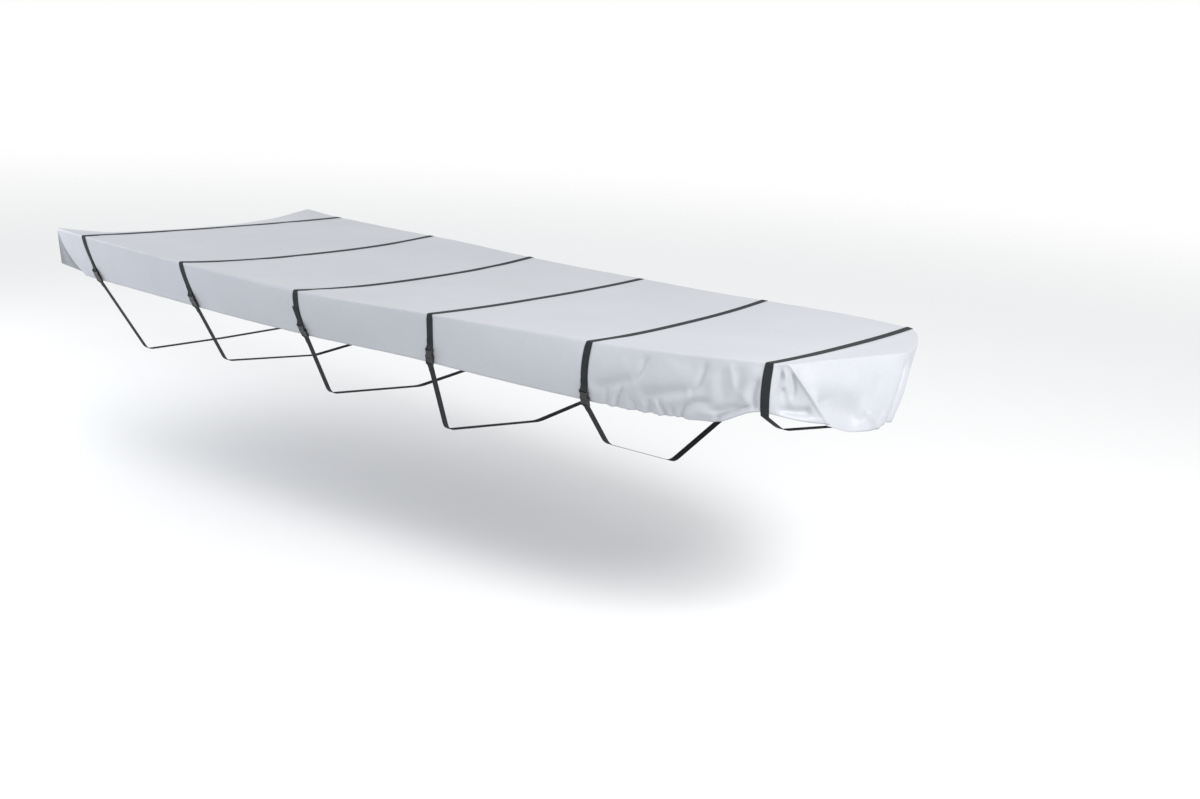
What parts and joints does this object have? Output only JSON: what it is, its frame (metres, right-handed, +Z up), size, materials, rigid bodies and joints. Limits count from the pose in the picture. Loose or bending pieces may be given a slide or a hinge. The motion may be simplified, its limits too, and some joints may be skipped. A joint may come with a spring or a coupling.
{
  "type": "boat cover",
  "caption": "Fitted cloth cover for an open boat: sagging top, hanging skirt, gathered front flap, and webbing straps with side-release buckles that pass underneath.",
  "frame": {"origin": "on the underside of the cover's top, at the middle of its length and width, where the boat holds the cover up", "axes": "+X towards the bow end, +Y to the far (port) side, +Z up"},
  "size_m": [4.2915, 1.6697, 0.7073],
  "materials": {
    "silver_polyester": "coated plain weave, faint satin sheen",
    "black_webbing": "woven polypropylene webbing, matt",
    "black_acetal": "moulded, fine satin"
  },
  "bodies": {
    "root": {"cover": "silver_polyester", "strap_1": "black_webbing", "strap_2": "black_webbing", "strap_3": "black_webbing", "strap_3_tail": "black_webbing", "strap_4": "black_webbing", "strap_5": "black_webbing", "strap_6": "black_webbing", "buckle_1_socket": "black_acetal", "buckle_1_plug": "black_acetal", "buckle_2_socket": "black_acetal", "buckle_2_plug": "black_acetal", "buckle_3_socket": "black_acetal", "buckle_3_plug": "black_acetal", "buckle_4_socket": "black_acetal", "buckle_4_plug": "black_acetal", "buckle_5_socket": "black_acetal", "buckle_5_plug": "black_acetal"}
  },
  "joints": []
}
